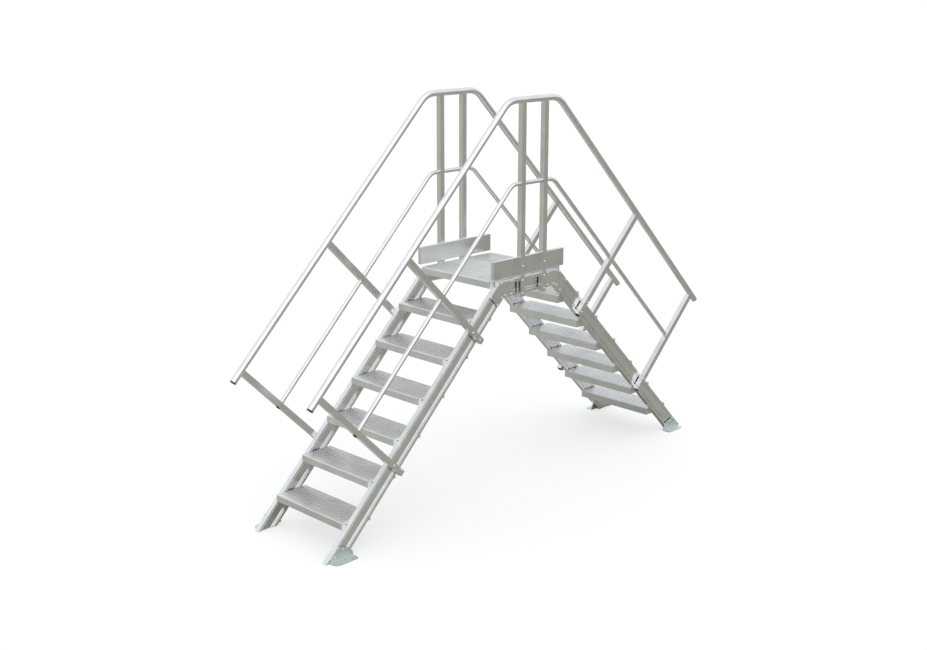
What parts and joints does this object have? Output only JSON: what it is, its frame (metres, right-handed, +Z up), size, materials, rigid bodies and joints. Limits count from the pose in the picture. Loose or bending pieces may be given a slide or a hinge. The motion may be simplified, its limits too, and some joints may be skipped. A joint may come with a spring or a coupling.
{
  "type": "crossover platform",
  "caption": "Aluminium crossover platform: ribbed stair flights rise at 45 degrees to a short railed bridge deck, on bolted foot brackets.",
  "frame": {"origin": "on the floor, midway between the feet in both directions", "axes": "+Z up, X along the walking direction, Y across the steps"},
  "size_m": [3.5494, 0.78, 2.497],
  "materials": {
    "side_members": "satin extruded aluminium, mill finish",
    "treads": "satin ribbed aluminium extrusion",
    "deck": "satin ribbed aluminium extrusion",
    "toe_boards": "satin extruded aluminium",
    "posts": "satin square aluminium tube",
    "knee_plates": "satin aluminium plate",
    "rails": "drawn round aluminium tube, bright satin",
    "foot_brackets": "galvanised steel plate",
    "end_caps": "black moulded plastic"
  },
  "bodies": {
    "root": {"stringer_left_near": "side_members", "stringer_left_far": "side_members", "stringer_right_near": "side_members", "stringer_right_far": "side_members", "tread_left_1": "treads", "tread_left_2": "treads", "tread_left_3": "treads", "tread_left_4": "treads", "tread_left_5": "treads", "tread_left_6": "treads", "tread_right_1": "treads", "tread_right_2": "treads", "tread_right_3": "treads", "tread_right_4": "treads", "tread_right_5": "treads", "tread_right_6": "treads", "beam_near": "side_members", "beam_far": "side_members", "deck_plank_left": "deck", "deck_plank_middle": "deck", "deck_plank_right": "deck", "toe_board_near": "toe_boards", "toe_board_far": "toe_boards", "posts_near": "posts", "posts_far": "posts", "uprights_left_near": "posts", "uprights_left_far": "posts", "uprights_right_near": "posts", "uprights_right_far": "posts", "knee_plate_left_near": "knee_plates", "knee_plate_left_far": "knee_plates", "knee_plate_right_near": "knee_plates", "knee_plate_right_far": "knee_plates", "handrail_near": "rails", "handrail_far": "rails", "knee_rail_near": "rails", "knee_rail_far": "rails", "foot_left_near": "foot_brackets", "foot_left_far": "foot_brackets", "foot_right_near": "foot_brackets", "foot_right_far": "foot_brackets", "rail_end_caps": "end_caps"}
  },
  "joints": []
}
